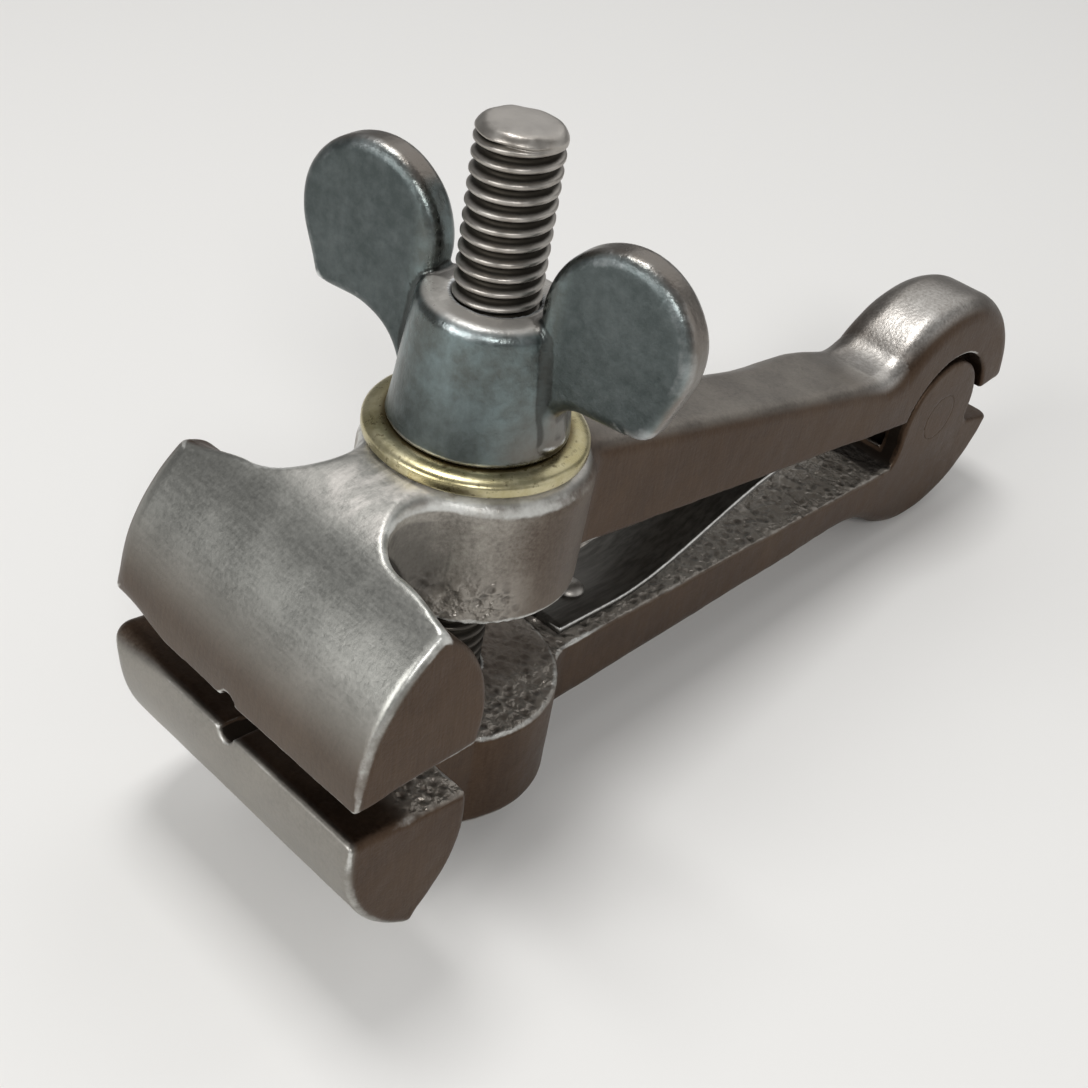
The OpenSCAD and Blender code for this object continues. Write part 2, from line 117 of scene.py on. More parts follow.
# How far outside two circles and the straight sides between them a point lies: its distance from the first
# circle before the sides begin, from the second after they end, and from the nearer side between
def outsideHull(u, v, a, ra, b, rb):
    bx, bz = b[0] - a[0], b[1] - a[1]
    run = bx * bx + bz * bz
    across = np.abs((u - a[0]) * bz - (v - a[1]) * bx) / run
    along = ((u - a[0]) * bx + (v - a[1]) * bz) / run
    drop = ra - rb
    lean = np.sqrt(run - drop * drop)
    turn, ahead = lean * along - drop * across, lean * across + drop * along
    near = np.hypot(across, along) * np.sqrt(run) - ra
    far = np.hypot(across, along - 1) * np.sqrt(run) - rb
    return np.where(turn < 0, near, np.where(turn > lean, far, ahead - ra))


# Rings of points about the vertical at the heights given, with one radius for each ring or for each point
def ringPoints(radius, height, sides):
    a = np.arange(sides) * 2 * math.pi / sides
    r = np.broadcast_to(radius.reshape(len(height), -1), (len(height), sides))
    rings = np.stack([r * np.cos(a), r * np.sin(a), np.repeat(height[:, None], sides, 1)], 2)
    return rings.reshape(-1, 3)


# Quads between the rings of a tube, and from its last ring back to the first where it closes on itself
def tubeQuads(rings, sides, closes):
    i, j = np.meshgrid(np.arange(rings if closes else rings - 1), np.arange(sides), indexing="ij")
    a, b = i.ravel(), j.ravel()
    c, d = (a + 1) % rings, (b + 1) % sides
    return np.stack([a * sides + b, a * sides + d, c * sides + d, c * sides + b], 1)


# Triangles that close the first ring on the point just after the rings, and the last ring on the next one
def endFans(count, sides):
    ring = np.arange(sides)
    after = (ring + 1) % sides
    first = np.stack([np.full(sides, count), after, ring], 1)
    last = np.stack([np.full(sides, count + 1), count - sides + ring, count - sides + after], 1)
    return np.concatenate([first, last])


# Points and faces put into a new smooth mesh object at the origin, with a float attribute for each mask
def putMesh(name, points, faceSets, masks):
    mesh = bpy.data.meshes.new(name)
    mesh.vertices.add(len(points))
    mesh.vertices.foreach_set("co", points.astype(np.float32).ravel())
    sizes = np.concatenate([np.full(len(f), f.shape[1]) for f in faceSets])
    corners = np.concatenate([f.ravel() for f in faceSets]).astype(np.int32)
    mesh.loops.add(len(corners))
    mesh.loops.foreach_set("vertex_index", corners)
    mesh.polygons.add(len(sizes))
    mesh.polygons.foreach_set("loop_start", (np.cumsum(sizes) - sizes).astype(np.int32))
    mesh.update(calc_edges=True)
    mesh.shade_smooth()
    for mask, values in masks.items():
        attribute = mesh.attributes.new(mask, "FLOAT", "POINT")
        attribute.data.foreach_set("value", values.astype(np.float32))
    piece = bpy.data.objects.new(name, mesh)
    bpy.context.scene.collection.objects.link(piece)
    print("made", name, len(points), "points", len(sizes), "faces")
    return piece


# Surface where a field is zero: one point in each grid cell that the surface crosses, at the mean of the
# crossings on the cell's edges, and one quad round each grid edge that it crosses
def netSurface(field, low, high, cell):
    axes = [np.arange(a, b + cell, cell) for a, b in zip(low, high)]
    shape = tuple(len(a) for a in axes)
    value = field(axes[0][:, None, None], axes[1][None, :, None], axes[2][None, None, :])
    value = np.broadcast_to(value, shape).astype(np.float32)
    inside = value < 0
    corners = list(np.ndindex(2, 2, 2))
    part = [inside[a:shape[0] - 1 + a, b:shape[1] - 1 + b, c:shape[2] - 1 + c] for a, b, c in corners]
    count = sum(q.astype(np.int8) for q in part)
    cells = np.argwhere((count > 0) & (count < len(corners)))
    number = np.full(count.shape, -1, np.int32)
    number[tuple(cells.T)] = np.arange(len(cells))
    total, hits = np.zeros((len(cells), 3)), np.zeros(len(cells))
    for a in corners:
        for axis in range(3):
            if a[axis] == 0:
                b = tuple(1 if n == axis else a[n] for n in range(3))
                va, vb = value[tuple((cells + a).T)], value[tuple((cells + b).T)]
                cross = (va < 0) != (vb < 0)
                t = np.where(cross, va / np.where(cross, va - vb, 1), 0)
                spot = np.tile(np.array(a, float), (len(cells), 1))
                spot[:, axis] = t
                total += spot * cross[:, None]
                hits += cross
    points = np.array([a[0] for a in axes]) + (cells + total / hits[:, None]) * cell
    quads, step = [], np.eye(3, dtype=int)
    for axis in range(3):
        u, v = (axis + 1) % 3, (axis + 2) % 3
        here = np.take(inside, np.arange(shape[axis] - 1), axis)
        there = np.take(inside, np.arange(1, shape[axis]), axis)
        edges = np.argwhere(here != there)
        edges = edges[(edges[:, u] > 0) & (edges[:, v] > 0)
                      & (edges[:, u] < shape[u] - 1) & (edges[:, v] < shape[v] - 1)]
        ring = [number[tuple((edges - du * step[u] - dv * step[v]).T)]
                for du, dv in ((1, 1), (0, 1), (0, 0), (1, 0))]
        quad = np.stack(ring, 1)
        leaving = here[tuple(edges.T)]
        quads.append(np.where(leaving[:, None], quad, quad[:, ::-1]))
    return points, np.concatenate(quads)


slopeStep = 0.04  # millimetres


# Slope of a field at points, from the difference across a short step each way
def slopeOf(field, p):
    steps = np.eye(3) * slopeStep
    return np.stack([field(*(p + e).T) - field(*(p - e).T) for e in steps], 1) / (2 * slopeStep)


# Points moved along the slope to where the field is zero, at most half a cell at a time, and their normals
def settle(field, p, cell):
    for _ in range(3):
        g = slopeOf(field, p)
        far = field(*p.T) / np.maximum((g * g).sum(1), 0.2)  # a weak slope isn't followed far
        p = p - g * np.clip(far, -cell / 2, cell / 2)[:, None]
    g = slopeOf(field, p)
    return p, g / np.maximum(np.linalg.norm(g, axis=1), 1e-6)[:, None]


# How much the surface bulges at points: the sum of the field a step away on six sides, less six times the
# field at the point, over the step squared
def bulge(field, p, step):
    around = sum(field(*(p + s * step * e).T) for e in np.eye(3) for s in (-1, 1))
    return (around - 6 * field(*p.T)) / (step * step)


# Both legs, in millimetres and degrees: x from the screw to the hinge, z from the lips into the leg
bothLegs = {"jawWidth": 35.4, "jawReach": 27.2, "jawDepth": 14.3, "lipLand": 1.6, "relief": 6.5,
            "backR": 13.2, "backZ": 4.5, "grooveR": 1.0, "grooveEdge": 0.3, "throatEdge": 0.6,
            "endEdge": 0.8, "topEdge": 0.9, "lipEdge": 0.3, "farOut": 1.2, "farRound": 2.3, "farEnd": 0.8,
            "armWidth": 12.0, "armIn": 1.0, "webIn": 6.0, "bossIn": 0.4, "sideFillet": 4.5, "armEdge": 2.0,
            "innerEdge": 0.45, "hingeR": 16.6, "earR": 8.1, "earT": 3.0, "earGap": 0.8, "tongueGap": 0.1,
            "pinR": 3.0, "cell": 0.32}


# A cylinder across the leg in front of its middle, and the flat of the boss behind that
def topField(leg, x, z):
    fx, fz = leg["frontR"] - bothLegs["jawReach"], leg["height"] - leg["frontR"]
    return np.where(x < fx, np.hypot(x - fx, z - fz) - leg["frontR"], z - leg["height"])


# Plan of the upper neck: the wall of the jaw, the boss, and a block between them less a scoop on each side
def upperPlan(leg, x, y):
    reach, side = leg["bossR"] + leg["scoopR"], np.abs(y)
    scoopY = math.sqrt(reach ** 2 - leg["scoopX"] ** 2)
    slant = easeRamp(side - scoopY, leg["wallBend"]) * leg["wallSlant"]
    wall = x + leg["scoopX"] + leg["scoopR"] + slant
    scoop = leg["scoopR"] - np.hypot(x + leg["scoopX"], side - scoopY)
    neck = np.maximum(scoop, (side * leg["scoopX"] + x * scoopY) / reach)
    neck = np.where(side < scoopY, np.minimum(neck, wall), wall)
    return np.minimum(neck, np.hypot(x, y) - leg["bossR"])


# Plan of the lower neck: a straight block with a fillet against the wall of the jaw, and the boss
def lowerPlan(leg, x, y):
    side = np.abs(y)
    block = np.maximum(side - leg["neckHalf"], x)
    slant = easeRamp(side - leg["neckHalf"] - leg["neckFillet"], leg["wallBend"]) * leg["wallSlant"]
    wall = x + leg["neckX"] + leg["neckFillet"] + slant
    neck = roundMin(block, wall, leg["neckFillet"])
    return np.minimum(neck, np.hypot(x, y) - leg["bossR"])


# The jaw, neck and boss: a round-backed bar over a relieved face, joined to the plan's block, cut off at
# the jaw's ends, under the rounded top
def headField(leg, plan, x, y, z):
    b = bothLegs
    back = np.hypot(x - (b["jawDepth"] - b["jawReach"] - b["backR"]), z - b["backZ"]) - b["backR"]
    c, s = cosSin(b["relief"])
    face = np.maximum(-z, (x - b["lipLand"] + b["jawReach"]) * s - z * c)
    bar = roundMax(back, face, b["lipEdge"])
    block = roundMax(plan(leg, x, y), leg["throat"] - z, b["throatEdge"])
    ends = np.maximum(y - b["farOut"], -y) - b["jawWidth"] / 2
    endEdge = b["endEdge"] + b["farEnd"] * easeStep(4, 10, y)
    body = roundMax(roundMin(bar, block, leg["neckRound"]), ends, endEdge)
    topEdge = b["lipEdge"] + (b["topEdge"] - b["lipEdge"]) * easeStep(0.5, 4, z)
    topEdge = topEdge + b["farRound"] * easeStep(8, 17, y) + leg["bossEdge"] * easeStep(-17, -10, x)
    return roundMax(body, topField(leg, x, z), topEdge)


# Side of the arm and hinge: a straight back and the round of the hinge, with a triangle between them less
# the circle that touches both
def backField(leg, x, z):
    b, hx, r, f = bothLegs, lying["hingeX"], bothLegs["hingeR"], leg["fillet"]
    start = math.sqrt(leg["bossR"] ** 2 - b["armWidth"] ** 2 / 4) - b["armIn"]
    slope = math.atan2(leg["tip"] - leg["root"], hx - r - start)
    c, s = math.cos(slope), math.sin(slope)
    bar = np.maximum((z - leg["root"] - np.maximum(x - start, 0) * math.tan(slope)) * c, x - hx)
    rise = (hx - start) * s + leg["root"] * c + f
    run = math.sqrt((r + f) ** 2 - rise ** 2)
    mx, mz = hx - s * rise - c * run, c * rise - s * run
    deep = f + b["webIn"]
    web = outsideTriangle(x, z, (mx + s * deep, mz - c * deep), (mx, mz), (hx, 0))
    web = np.maximum(web, f - np.hypot(x - mx, z - mz))
    return np.minimum(np.minimum(bar, np.hypot(x - hx, z) - r), web)


# The arm: that side, as wide as the arm, run into the boss with a fillet in plan, its back edges rounded
def armField(leg, x, y, z):
    b, half, f, side = bothLegs, bothLegs["armWidth"] / 2, bothLegs["sideFillet"], np.abs(y)
    mx, my = math.sqrt((leg["bossR"] + f) ** 2 - (half + f) ** 2), half + f
    web = outsideTriangle(x, side, (0, -b["webIn"]), (mx, my), (mx, -b["webIn"]))
    web = np.maximum(web, f - np.hypot(x - mx, side - my))
    plan = np.minimum(np.minimum(side - half, np.hypot(x, y) - leg["bossR"] + b["bossIn"]), web)
    far = easeStep(-2, 4, y)
    edge = b["armEdge"] + (leg["nearEdge"] + leg["farEdge"] * far) * easeStep(58, 76, x)
    edge = edge + leg["farArm"] * far * between(12, 20, 44, 62, x)
    return np.maximum(roundMax(backField(leg, x, z), plan, edge), -x)


# A leg less the small round groove across the middle of its lips
def lessGroove(whole, x, y, z):
    b = bothLegs
    return roundMax(whole, b["grooveR"] - np.hypot(np.maximum(x, 0) + y, z), b["grooveEdge"])


upperLeg = {"frontR": 17.1, "height": 19.5, "bossR": 11.4, "bossEdge": 1.3, "rub": 1.0, "throat": 6.0,
            "scoopR": 5.2, "scoopX": 13.0, "wallSlant": 0.36, "wallBend": 5.0, "neckRound": 1.6,
            "root": 18.8, "tip": 9.4, "innerRoot": 6.2, "innerTip": 1.5, "fillet": 6.0,
            "nearEdge": 1.2, "farEdge": 1.4, "farArm": 2.6, "hookZ": 1.7, "hookEdge": 1.3,
            "socketOut": 0.5, "socketEdge": 0.35, "tongueEdge": 0.3, "pinGap": 0.05, "pinEdge": 0.1,
            "slotR": 4.37, "slotEdge": 0.4, "fullOpen": lying["open"] + 7.9, "seed": 11,
            "low": (-28.2, -18.6, -8.2), "high": (100.6, 19.9, 20.6)}


# The upper leg: head and arm over a line that falls from the boss to the hinge, sockets for the ears cut in
# its sides, a tongue between them, the screw's slot through the boss, the pin's hole and the lips' groove
def upperField(x, y, z):
    b, u, hx = bothLegs, upperLeg, lying["hingeX"]
    pin = np.hypot(x - hx, z)
    inner = np.interp(x, [u["bossR"], hx - b["earR"], hx - 1, hx + 1],
                      [u["innerRoot"], u["innerTip"], u["innerTip"], u["hookZ"]])
    edge = b["innerEdge"] + (u["hookEdge"] - b["innerEdge"]) * easeStep(92, 96, x)
    arm = roundMax(armField(u, x, y, z), inner - z, edge)
    halfTongue, socketR = b["armWidth"] / 2 - b["earT"] - b["tongueGap"], b["earR"] + b["earGap"]
    worn = np.hypot(x - hx - u["socketOut"], z) - socketR - u["socketOut"] / 2
    socket = np.maximum(np.minimum(pin - socketR, worn), halfTongue - np.abs(y))
    arm = roundMax(arm, -socket, u["socketEdge"])
    tongue = roundMax(pin - b["earR"] + b["earGap"], np.abs(y) - halfTongue, u["tongueEdge"])
    whole = np.minimum(headField(u, upperPlan, x, y, z), np.minimum(arm, tongue))
    swing = math.radians(u["fullOpen"])
    axis = hx * (1 - 1 / math.cos(swing)) - z * math.tan(swing)  # of the screw, with the leg wide open
    slot = np.hypot(np.maximum(np.maximum(axis - x, x), 0), y) - u["slotR"]
    whole = roundMax(whole, -slot, u["slotEdge"])
    whole = roundMax(whole, b["pinR"] + u["pinGap"] - pin, u["pinEdge"])
    return lessGroove(whole, x, y, z)


lowerLeg = {"frontR": 15.2, "height": 17.2, "bossR": 12.2, "bossEdge": 0.8, "rub": 0.0, "throat": 4.7,
            "neckHalf": 11.0, "neckX": 13.5, "neckFillet": 3.0, "neckRound": 1.2, "wallSlant": 0.75,
            "wallBend": 2.5, "root": 14.2, "tip": 11.3, "inner": 5.0, "fillet": 16.0,
            "nearEdge": 0.0, "farEdge": 0.0, "farArm": 0.0, "step": 0.6, "shelfZ": 3.3, "shelfFall": 0.2,
            "shelfFillet": 2.0, "shelfOver": 2.0, "forkIn": 1.0, "forkEdge": 0.25, "pinEdge": 0.05,
            "screwR": 4.02, "squareHalf": 4.05, "squareDepth": 7.05, "holeEdge": 0.3, "seed": 23,
            "low": (-28.2, -18.6, -9.0), "high": (100.6, 19.9, 18.2)}


# The lower leg, upside down: head and arm over a flat inner face and a shelf at the hinge, two ears on the
# pin with a slot for the tongue between them, the screw's hole and square seat, and the lips' groove
def lowerField(x, y, z):
    b, w, hx = bothLegs, lowerLeg, lying["hingeX"]
    pin = np.hypot(x - hx, z)
    turn, end = hx - b["hingeR"] / 2, b["hingeR"] + w["shelfOver"]
    fall = w["shelfFall"] * (end - b["earR"])
    inner = np.interp(x, [turn - w["step"], turn + w["step"], hx + b["earR"], hx + end],
                      [w["inner"], w["shelfZ"], w["shelfZ"], w["shelfZ"] + fall])
    face = roundMin(inner - z, pin - b["earR"], w["shelfFillet"])
    arm = roundMax(armField(w, x, y, z), face, b["innerEdge"])
    fork = np.maximum(np.minimum(pin - b["earR"], z - w["shelfZ"]), turn - w["forkIn"] - x)
    fork = np.maximum(fork, np.abs(y) - b["armWidth"] / 2 + b["earT"])
    arm = roundMax(arm, -fork, w["forkEdge"])
    whole = np.minimum(headField(w, lowerPlan, x, y, z), arm)
    whole = roundMax(whole, w["screwR"] - np.hypot(x, y), w["holeEdge"])
    square = np.maximum(np.abs(x), np.abs(y)) - w["squareHalf"]
    square = np.maximum(square, w["height"] - w["squareDepth"] - z)
    whole = roundMax(whole, -square, w["holeEdge"])
    whole = roundMax(whole, b["pinR"] - pin, w["pinEdge"])
    return lessGroove(whole, x, y, z)


print("fields ready")

# Height and length of the hammer's dents and their ripples, depth and lengths of the rust pits, the level
# above which the pits stop, and how far the whole skin is sunk, in millimetres
hammered = {"dent": 0.04, "dentSize": 14, "ripple": 0.016, "rippleSize": 3.2, "pit": 0.15, "pitSize": 1.5,
            "pitFine": 0.9, "pitBrim": 0.4, "sunk": 0.03, "bendStep": 0.5}


# Masks of wear, dirt and painted light on a leg: worn where it bulges and its edges show, and round the
# boss's rim, where the bright band is also a painted highlight; dark where it is hollow, with dirt and
# painted shade, less on its plain sides, and painted shade inside the fork; rubbed on the neck's top,
# scratches with a painted sheen; polished on the hinge's shoulder, burnished metal with a painted highlight
def legWear(leg, p, n, bend, fromPin, filed):
    x, y, z = p.T
    side, rub = np.abs(y), leg["rub"]
    lips = (1 - easeStep(0.4, 2, z)) * (1 - easeStep(-24, -20, x))
    # Inside the fork: painted shade, and no worn edges there
    forkShade = between(70, 72, 76, 79, x) * (1 - easeStep(4.9, 5.4, side))  # inside the fork
    behind = between(-20, -18, -11, -9, x) * easeStep(16, 17, side)  # back of the jaw, at its ends
    under = rub * easeStep(12, 16, x) * (1 - easeStep(7, 9, z))  # inner edges of the upper arm
    shows = (1 - 0.45 * easeStep(70, 75, x)) * easeStep(3.6, 4.6, fromPin) * (1 - 0.55 * lips)
    shows = shows * (1 - (1 - rub) * 0.5 * easeStep(14, 20, x)) * (0.8 + 0.2 * rub)
    shows = shows * (1 - forkShade) * (1 - 0.85 * behind) * (1 - under)
    # Round the boss's rim the worn band is also a painted highlight, on the rounded edge that faces up
    rim = between(0.15, 0.45, 0.75, 0.97, n[:, 2]) * easeStep(14, 17, z) * between(-23, -19, -8, 9, x)
    rim = rim * easeStep(0.1, 0.35, np.maximum(np.abs(n[:, 1]), n[:, 0]))
    plain = (1 - rub) * between(-14, -10, 2, 5, x) * (1 - easeStep(0.3, 0.6, np.abs(n[:, 2])))
    plain = np.maximum(plain, between(20, 24, 73, 75, x) * easeStep(4.5, 5.2, side))
    plain = np.maximum(plain, 0.8 * between(4, 6, 14, 17, x))
    # Rubbed on the neck's top: scratched bare metal with a painted sheen, only where the face looks up
    rubbed = filed * between(-20, -15, 4, 9, x) * easeStep(0.75, 0.92, n[:, 2])
    # Polished on the hinge's shoulder: burnished metal with a painted highlight where the shoulder faces
    # the lamp overhead
    shoulder = between(60, 68, 78, 90, x) * easeStep(0.45, 0.85, n[:, 2])
    # The dark mask carries dirt and painted shade in hollows, and painted shade alone inside the fork
    return {"worn": np.clip(bend * 0.62 * shows + 0.85 * rim, 0, 1),
            "sheltered": np.clip(-bend * 1.6 * (1 - plain) + forkShade * (z < 6), 0, 1),
            "rubbed": rub * rubbed * (1 - 0.6 * easeStep(0, 8, y)),
            "polished": rub * shoulder * (1 - 0.7 * easeStep(-1, 4, y))}


# A leg's mesh: its field's surface, dented where it isn't filed and pitted where asked, with its masks
def makeLeg(name, leg, field, filed, pitted, dull, place):
    h, cell, seed = hammered, bothLegs["cell"], leg["seed"]
    p, quads = netSurface(field, leg["low"], leg["high"], cell)
    p, n = settle(field, p, cell)
    bend = bulge(field, p, h["bendStep"])
    filedMask, pitMask = filed(p, n), pitted(p, n)
    fromPin = np.hypot(p[:, 0] - lying["hingeX"], p[:, 2])
    dents = h["dent"] * waves(p, h["dentSize"], seed) + h["ripple"] * waves(p, h["rippleSize"], seed + 1)
    dents = dents * easeStep(4.5, 8, fromPin) * (1 - 0.8 * filedMask)
    pits = waves(p, h["pitSize"], seed + 2) + 0.6 * waves(p, h["pitFine"], seed + 3)
    pits = np.minimum(pits, h["pitBrim"]) - h["pitBrim"]
    p = p + n * (dents + h["pit"] * pitMask * pits - h["sunk"])[:, None]
    masks = {**legWear(leg, p, n, bend, fromPin, filedMask),
             "filed": filedMask, "pitted": pitMask, "dull": dull(p, n)}
    return putMesh(name, place(p), [quads], masks)


# 1 on the drawn line of a head's top, 0 from a little away
def onTop(leg, p):
    return 1 - easeStep(0.15, 0.9, np.abs(topField(leg, p[:, 0], p[:, 2])))


# The sides of the neck and boss, scoops included, fading towards the jaw's ends
def neckSide(p, n):
    along = between(-20, -16, 6, 11, p[:, 0]) * (1 - easeStep(11, 17, np.abs(p[:, 1])))
    return along * (1 - easeStep(0.35, 0.8, np.abs(n[:, 2])))


# Filed on the top of the head, less towards the lips, and a little on the arm's top and the neck's sides
def upperFiled(p, n):
    top = onTop(upperLeg, p) * (1 - easeStep(8, 14, p[:, 0])) * (0.15 + 0.85 * easeStep(3, 12, p[:, 2]))
    arm = 0.3 * easeStep(0.35, 0.9, n[:, 2]) * easeStep(6, 14, p[:, 0])
    side = 0.35 * neckSide(p, n) * (1 - 0.8 * easeStep(-8, -2, p[:, 0]))
    return np.maximum(np.maximum(top, arm), side)


# Pitted low down in the scoops, where the sides of the neck face outward, and a little underneath
def upperPitted(p, n):
    side = easeStep(0.2, 0.6, np.abs(n[:, 1])) * between(-19, -16, -6, -1, p[:, 0])
    side = side * (1 - easeStep(11, 16, np.abs(p[:, 1]))) * (1 - easeStep(9, 13, p[:, 2]))
    return side + 0.3 * easeStep(0.5, 0.9, -n[:, 2])


# Dull grey in the scoops, less in their pits, fading on to the boss, and a little on the arm's top
def upperDull(p, n):
    arm = 0.35 * easeStep(0.5, 0.9, n[:, 2]) * between(10, 16, 58, 66, p[:, 0])
    scoop = neckSide(p, n) * (1 - 0.85 * easeStep(-9, 0, p[:, 0])) * (1 - 0.3 * upperPitted(p, n))
    return np.maximum(scoop, arm)


# Filed in part on the front of the lower jaw
def lowerFiled(p, n):
    return 0.6 * onTop(lowerLeg, p) * (1 - easeStep(-14, -8, p[:, 0]))


# Pitted all over the inner face behind the jaw, less on the boss away from its near rim
def lowerPitted(p, n):
    boss = easeStep(-8, -4, p[:, 1]) * (1 - easeStep(9, 13, p[:, 0]))
    return easeStep(0.4, 0.9, -n[:, 2]) * between(-22, -18, 74, 77, p[:, 0]) * (1 - 0.7 * boss)


# Dull grey on the inner face of the arm, less so on the boss and the front of the jaw
def lowerDull(p, n):
    inner = (0.25 + 0.35 * easeStep(8, 16, p[:, 0])) * between(-18, -14, 74, 77, p[:, 0])
    front = 0.25 * easeStep(0.3, 0.8, -n[:, 0]) * (1 - easeStep(-22, -18, p[:, 0]))
    return np.maximum(easeStep(0.4, 0.9, -n[:, 2]) * inner, front)


upperPiece = makeLeg("upperLeg", upperLeg, upperField, upperFiled, upperPitted, upperDull,
                     lambda p: layDown(openUp(p)))
lowerPiece = makeLeg("lowerLeg", lowerLeg, lowerField, lowerFiled, lowerPitted, lowerDull,
                     lambda p: layDown(p * (1, 1, -1)))
lowerPiece.data.flip_normals()  # mirrored in z above

# The wings aren't quite alike, as forged ones aren't
wingNut = {"footR": 8.6, "topR": 7.0, "height": 12.7, "topEdge": 1.25, "footEdge": 0.4, "boreR": 4.0,
           "boreEdge": 0.15, "thick": 4.0, "rim": 1.4, "root": 0.7, "webTop": 12.1, "webFoot": 1.0,
           "hollowEdge": 0.6, "turn": -80.0, "footZ": 24.4729,
           "near": {"reach": 12.9, "radius": 7.5, "rise": 14.5, "under": 6.1, "hollowR": 3.0,
                    "hollowX": 11.2, "tip": 5.6, "tipR": 2.4},
           "far": {"reach": 13.6, "radius": 7.8, "rise": 14.5, "under": 6.7, "hollowR": 6.4,
                   "hollowX": 14.9, "tip": 5.8, "tipR": 1.2},
           "dent": 0.03, "dentSize": 6, "sunk": 0.01, "seed": 41, "bendStep": 0.45,
           "cell": 0.26, "low": (-22, -9.2, -0.8), "high": (22, 9.2, 23.2)}


# Side of one wing: a disc and a smaller round at its lower tip with the straight sides between them, and a
# web in to the nut, less a hollow underneath that is round near the nut and straight out to the tip
def wingSide(w, u, z):
    tipX, tipZ = w["reach"] + w["tip"] - w["tipR"], w["under"] + w["tipR"]
    disc = outsideHull(u, z, (w["reach"], w["rise"]), w["radius"], (tipX, tipZ), w["tipR"])
    web = np.maximum(np.maximum(z - wingNut["webTop"], wingNut["webFoot"] - z), u - tipX)
    hollow = np.hypot(u - w["hollowX"], z - w["under"] + w["hollowR"]) - w["hollowR"]
    hollow = np.minimum(hollow, np.maximum(z - w["under"], w["hollowX"] - u))
    return roundMax(np.minimum(disc, web), -hollow, wingNut["hollowEdge"])


# The wing nut: a cone with a rounded top rim, two round wings on a web hollowed underneath, and the bore
def nutField(x, y, z):
    w = wingNut
    r, u = np.hypot(x, y), np.abs(x)
    lean = (w["topR"] - w["footR"]) / w["height"]
    cone = (r - w["footR"] - z * lean) / math.hypot(1, lean)
    cone = roundMax(roundMax(cone, z - w["height"], w["topEdge"]), -z, w["footEdge"])
    side = np.where(x > 0, wingSide(w["near"], u, z), wingSide(w["far"], u, z))
    wing = roundMax(side, np.abs(y) - w["thick"] / 2, w["rim"])
    return roundMax(roundMin(cone, wing, w["root"]), w["boreR"] - r, w["boreEdge"])


# Turned about the screw and lifted to the foot given
def onScrew(p, turn, foot):
    c, s = cosSin(turn)
    return np.stack([p[:, 0] * c - p[:, 1] * s, p[:, 0] * s + p[:, 1] * c, p[:, 2] + foot], 1)


# The nut's mesh, with masks of its top, its worn edges, its foot and hollows, and the wings' flats and rims
def makeNut():
    w = wingNut
    p, quads = netSurface(nutField, w["low"], w["high"], w["cell"])
    p, n = settle(nutField, p, w["cell"])
    bend = bulge(nutField, p, w["bendStep"])
    offAxis, across = np.hypot(p[:, 0], p[:, 1]), np.abs(n[:, 1])
    atFoot = 1 - easeStep(0.1, 0.6, p[:, 2])
    masks = {"top": easeStep(0.6, 0.95, n[:, 2]) * (offAxis < 7.2) * easeStep(12, 12.5, p[:, 2]),
             # Dark at the foot, where the nut meets the washer, and in hollows: dirt and painted shade
             "worn": np.clip(bend * 0.6, 0, 1), "sheltered": np.clip(atFoot - bend * 1.6, 0, 1),
             "flat": easeStep(0.6, 0.95, across) * easeStep(7, 9, offAxis),
             "rim": (1 - easeStep(0.35, 0.8, across)) * easeStep(7.6, 9, offAxis)}
    p = p + n * (w["dent"] * waves(p, w["dentSize"], w["seed"]) - w["sunk"])[:, None]
    return putMesh("wingNut", layDown(onScrew(p, w["turn"], w["footZ"])), [quads], masks)


nutPiece = makeNut()

screwSizes = {"radius": 3.97, "pitch": 1.411, "depth": 0.7, "threadFrom": -6.0, "top": 53.173,
              "bevel": 0.95, "head": 7.5, "headZ": -20.7, "headT": 3.5, "neckHalf": 4.0, "neckCorner": 5.32,
              "neckZ": -10.2, "struck": 0.06, "struckSize": 3.5, "seed": 61, "sides": 96, "stepsEach": 14}


